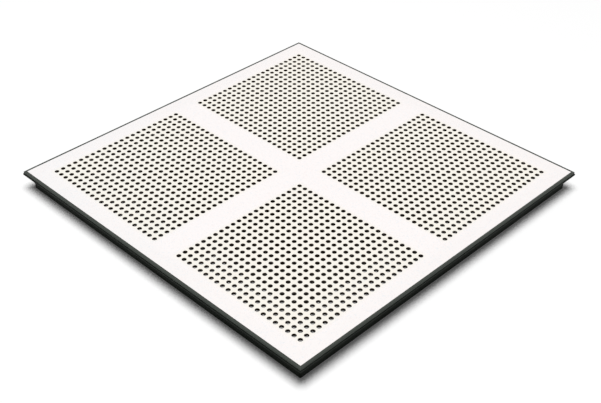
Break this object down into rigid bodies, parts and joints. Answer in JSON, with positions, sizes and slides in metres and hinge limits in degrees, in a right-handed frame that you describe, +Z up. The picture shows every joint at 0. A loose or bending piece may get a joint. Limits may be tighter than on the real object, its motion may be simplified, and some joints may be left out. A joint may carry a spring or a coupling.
{
  "type": "perforated raised floor tile",
  "caption": "Square perforated tile for a raised access floor: drilled white laminate on a punched steel sheet, black edge strips and a folded steel frame below.",
  "frame": {"origin": "middle of the tile on the plane of the rails' feet", "axes": "+Z up out of the walking face, X and Y along the sides"},
  "size_m": [0.6, 0.6, 0.031],
  "materials": {
    "laminate_white": "satin high pressure laminate, finely speckled",
    "strip_black": "satin black edge strip",
    "sheet_coated": "black powder coat",
    "frame_coated": "black powder coat"
  },
  "bodies": {
    "root": {"face_laminate": "laminate_white", "top_sheet": "sheet_coated", "edge_strip_front": "strip_black", "edge_strip_back": "strip_black", "edge_strip_left": "strip_black", "edge_strip_right": "strip_black", "frame_rail_front": "frame_coated", "frame_rail_back": "frame_coated", "frame_rail_left": "frame_coated", "frame_rail_right": "frame_coated", "cross_channel_long": "frame_coated", "cross_channel_front": "frame_coated", "cross_channel_back": "frame_coated"}
  },
  "joints": []
}
